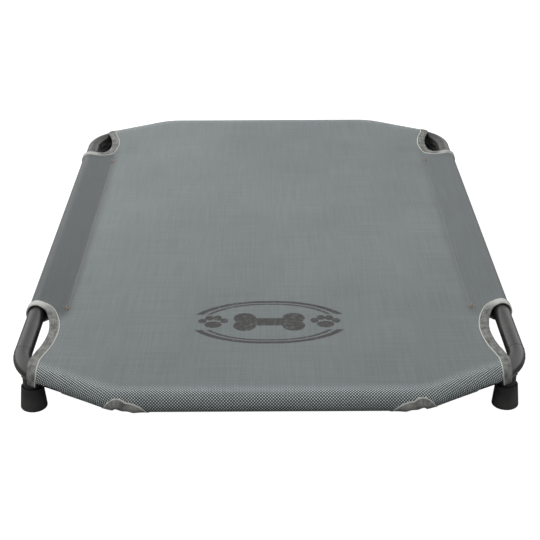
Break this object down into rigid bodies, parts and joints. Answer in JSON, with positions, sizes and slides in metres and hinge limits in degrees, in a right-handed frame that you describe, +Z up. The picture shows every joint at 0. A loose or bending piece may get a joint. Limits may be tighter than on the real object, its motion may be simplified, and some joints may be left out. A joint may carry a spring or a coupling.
{
  "type": "raised dog bed",
  "caption": "Low raised dog bed: a bent tube frame on short capped legs with a taut woven mesh cover sleeved over its rails and bound corner openings.",
  "frame": {"origin": "on the floor under the middle of the bed", "axes": "+Y from the front end to the rear end, +X to the right seen from the front, +Z up"},
  "size_m": [0.5466, 0.8488, 0.0534],
  "materials": {
    "powder_coat": "satin black powder coat",
    "rivet": "black painted rivet",
    "rubber": "matte moulded rubber",
    "mesh": "grey coated woven mesh",
    "tape": "warm grey woven binding tape",
    "thread": "pale sewing thread"
  },
  "bodies": {
    "root": {"front_frame_tube": "powder_coat", "rear_frame_tube": "powder_coat", "joint_rivets": "rivet", "front_left_leg": "powder_coat", "front_right_leg": "powder_coat", "rear_left_leg": "powder_coat", "rear_right_leg": "powder_coat", "leg_welds": "powder_coat", "front_left_foot": "rubber", "front_right_foot": "rubber", "rear_left_foot": "rubber", "rear_right_foot": "rubber", "deck_panel": "mesh", "left_side_sleeve": "mesh", "right_side_sleeve": "mesh", "front_end_sleeve": "mesh", "rear_end_sleeve": "mesh", "front_left_binding": "tape", "front_right_binding": "tape", "rear_left_binding": "tape", "rear_right_binding": "tape", "front_left_notch_binding": "tape", "front_right_notch_binding": "tape", "rear_left_notch_binding": "tape", "rear_right_notch_binding": "tape", "left_seam_thread": "thread", "right_seam_thread": "thread", "front_seam_thread": "thread", "rear_seam_thread": "thread"}
  },
  "joints": []
}
